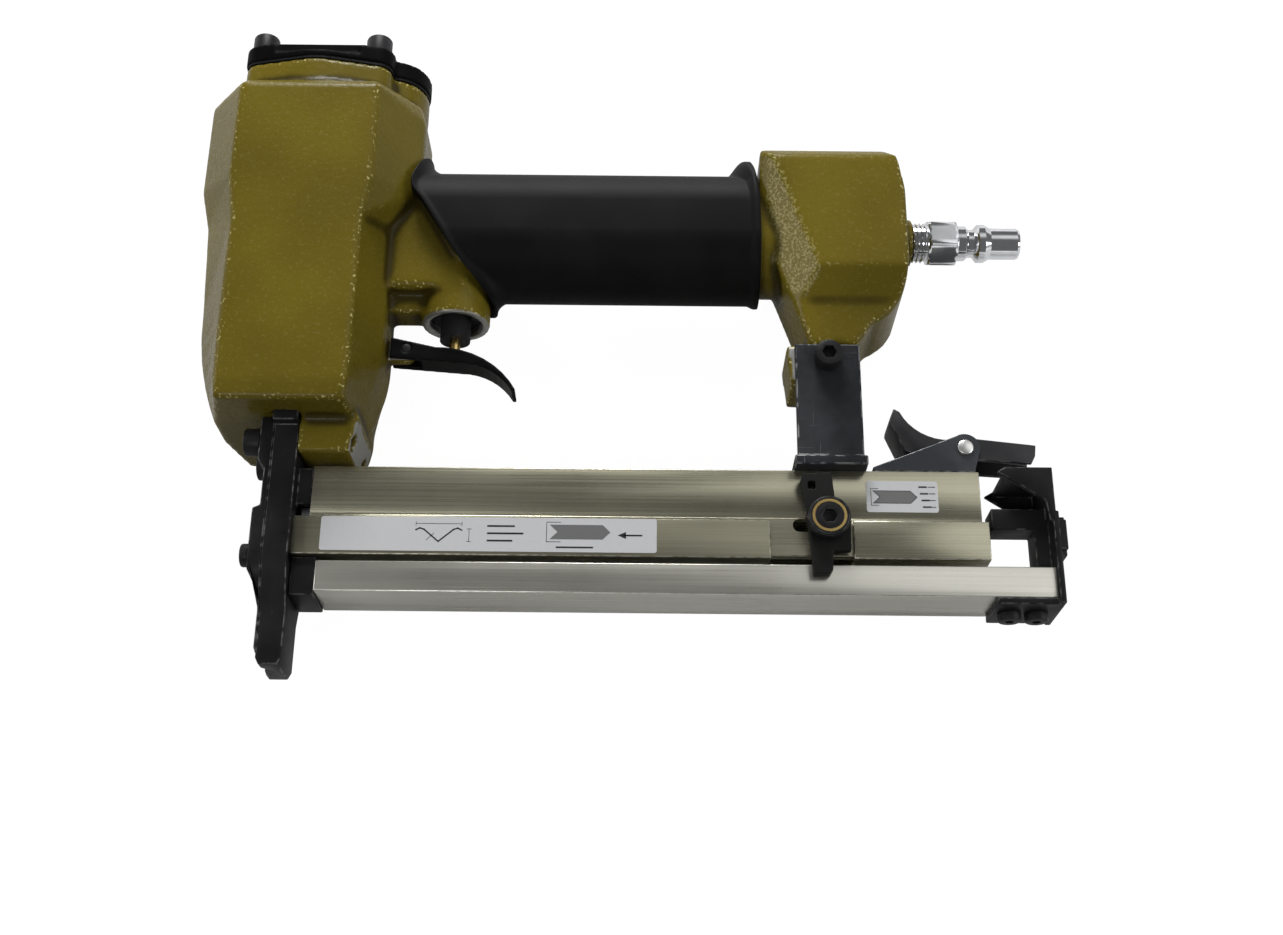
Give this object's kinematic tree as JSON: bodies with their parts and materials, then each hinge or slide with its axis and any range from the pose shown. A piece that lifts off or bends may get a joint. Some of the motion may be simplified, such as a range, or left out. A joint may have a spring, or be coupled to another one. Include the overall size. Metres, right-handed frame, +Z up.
{
  "type": "pneumatic v-nailer",
  "caption": "Hand-held pneumatic v-nailer with a faceted barrel, rubber-gripped handle, trigger valve, steel nose and a rail magazine with a sliding drawer and latch.",
  "frame": {"origin": "on the surface that the tool lies on, under the middle of its bounding box", "axes": "+X from the barrel's front to the drawer's pull tab, +Y from the nose's tip to the cap, +Z up, from the side that the tool lies on"},
  "size_m": [0.2696, 0.2136, 0.056],
  "materials": {
    "enamel": "glossy mustard olive enamel on a casting",
    "cap_black": "satin black coat",
    "screw_black": "black oxide",
    "seal_rubber": "matte",
    "inner_plastic": "moulded",
    "inner_aluminium": "turned",
    "spring_steel": "drawn wire",
    "driver_steel": "hardened and ground",
    "nose_steel": "black oxide with worn edges",
    "trigger_black": "satin black coat",
    "pin_zinc": "bright zinc",
    "brass": "turned",
    "grip_rubber": "matte moulded rubber",
    "plug_chrome": "bright plated",
    "bracket_steel": "blued and scuffed",
    "rail_aluminium": "olive grey anodised, brushed lengthwise",
    "drawer_aluminium": "silver grey anodised, brushed lengthwise",
    "block_black": "black",
    "pusher_steel": "blued",
    "clip_black": "satin black coat"
  },
  "bodies": {
    "frame": {"housing": "enamel", "cylinder_cap": "cap_black", "cap_gasket": "seal_rubber", "cap_screws": "screw_black", "head_valve_spring": "spring_steel", "cylinder_sleeve": "inner_aluminium", "sleeve_seals": "seal_rubber", "piston_bumper": "seal_rubber", "nose_body": "nose_steel", "nose_front_plate": "nose_steel", "nose_screws": "screw_black", "trigger_pin": "pin_zinc", "valve_body": "inner_plastic", "valve_seals": "seal_rubber", "valve_spring": "spring_steel", "valve_plug": "inner_plastic", "grip_sleeve": "grip_rubber", "air_plug": "plug_chrome", "magazine_bracket": "bracket_steel", "bracket_screw": "screw_black", "bracket_nut": "driver_steel", "bracket_foot_screws": "screw_black", "magazine_rail": "rail_aluminium", "rail_screws": "screw_black", "front_strip": "rail_aluminium", "rear_strip": "rail_aluminium", "back_strip": "rail_aluminium", "latch_base": "bracket_steel", "latch_rivets": "pin_zinc", "latch_pin": "pin_zinc", "latch_spring": "spring_steel"},
    "piston": {"piston": "inner_aluminium", "piston_ring": "seal_rubber", "driver_blade": "driver_steel", "driver_pin": "driver_steel"},
    "head_valve": {"head_valve": "inner_plastic", "head_valve_seal": "seal_rubber"},
    "trigger": {"trigger": "trigger_black"},
    "valve_stem": {"valve_stem": "brass"},
    "drawer": {"drawer_rail": "drawer_aluminium", "drawer_front_block": "block_black", "drawer_end_block": "block_black", "drawer_screws": "screw_black", "pusher_rod": "driver_steel", "pusher_spring": "spring_steel"},
    "pusher": {"pusher": "pusher_steel"},
    "latch": {"latch_lever": "bracket_steel"},
    "clip": {"stop_clip": "clip_black"},
    "clamp": {"clamp_screw": "clip_black", "clamp_ring": "brass"}
  },
  "joints": [
    {"name": "piston_stroke", "type": "slide", "parent": "frame", "child": "piston", "axis": [0, -1, 0], "range_m": [0, 0.05]},
    {"name": "head_valve_lift", "type": "slide", "parent": "frame", "child": "head_valve", "axis": [0, 1, 0], "range_m": [0, 0.003], "stiffness_N_per_m": 800, "springref_m": -0.006, "deforming": ["head_valve_spring"]},
    {"name": "trigger_pull", "type": "hinge", "parent": "frame", "child": "trigger", "pos_m": [-0.0662, -0.0026, 0.028], "axis": [0, 0, 1], "range_deg": [0, 9], "stiffness_Nm_per_rad": 0.6, "springref_deg": -11.46},
    {"name": "stem_lift", "type": "slide", "parent": "frame", "child": "valve_stem", "axis": [0, 1, 0], "range_m": [0, 0.0022], "deforming": ["valve_spring"]},
    {"name": "drawer_slide", "type": "slide", "parent": "frame", "child": "drawer", "axis": [1, 0, 0], "range_m": [0, 0.185]},
    {"name": "pusher_slide", "type": "slide", "parent": "drawer", "child": "pusher", "axis": [1, 0, 0], "range_m": [0, 0.165], "stiffness_N_per_m": 30, "springref_m": -0.1, "deforming": ["pusher_spring"]},
    {"name": "latch_press", "type": "hinge", "parent": "frame", "child": "latch", "pos_m": [0.1064, -0.0368, 0.028], "axis": [0, 0, 1], "range_deg": [0, 10], "stiffness_Nm_per_rad": 0.5, "springref_deg": -8.59},
    {"name": "clip_slide", "type": "slide", "parent": "frame", "child": "clip", "axis": [-1, 0, 0], "range_m": [0, 0.008]},
    {"name": "clamp_turn", "type": "hinge", "parent": "clip", "child": "clamp", "pos_m": [0.0634, -0.0626, 0.028], "axis": [0, 0, 1], "continuous": true}
  ],
  "couplings": [
    {"joint": "stem_lift", "follows": "trigger_pull", "m_per_rad": 0.0134}
  ]
}
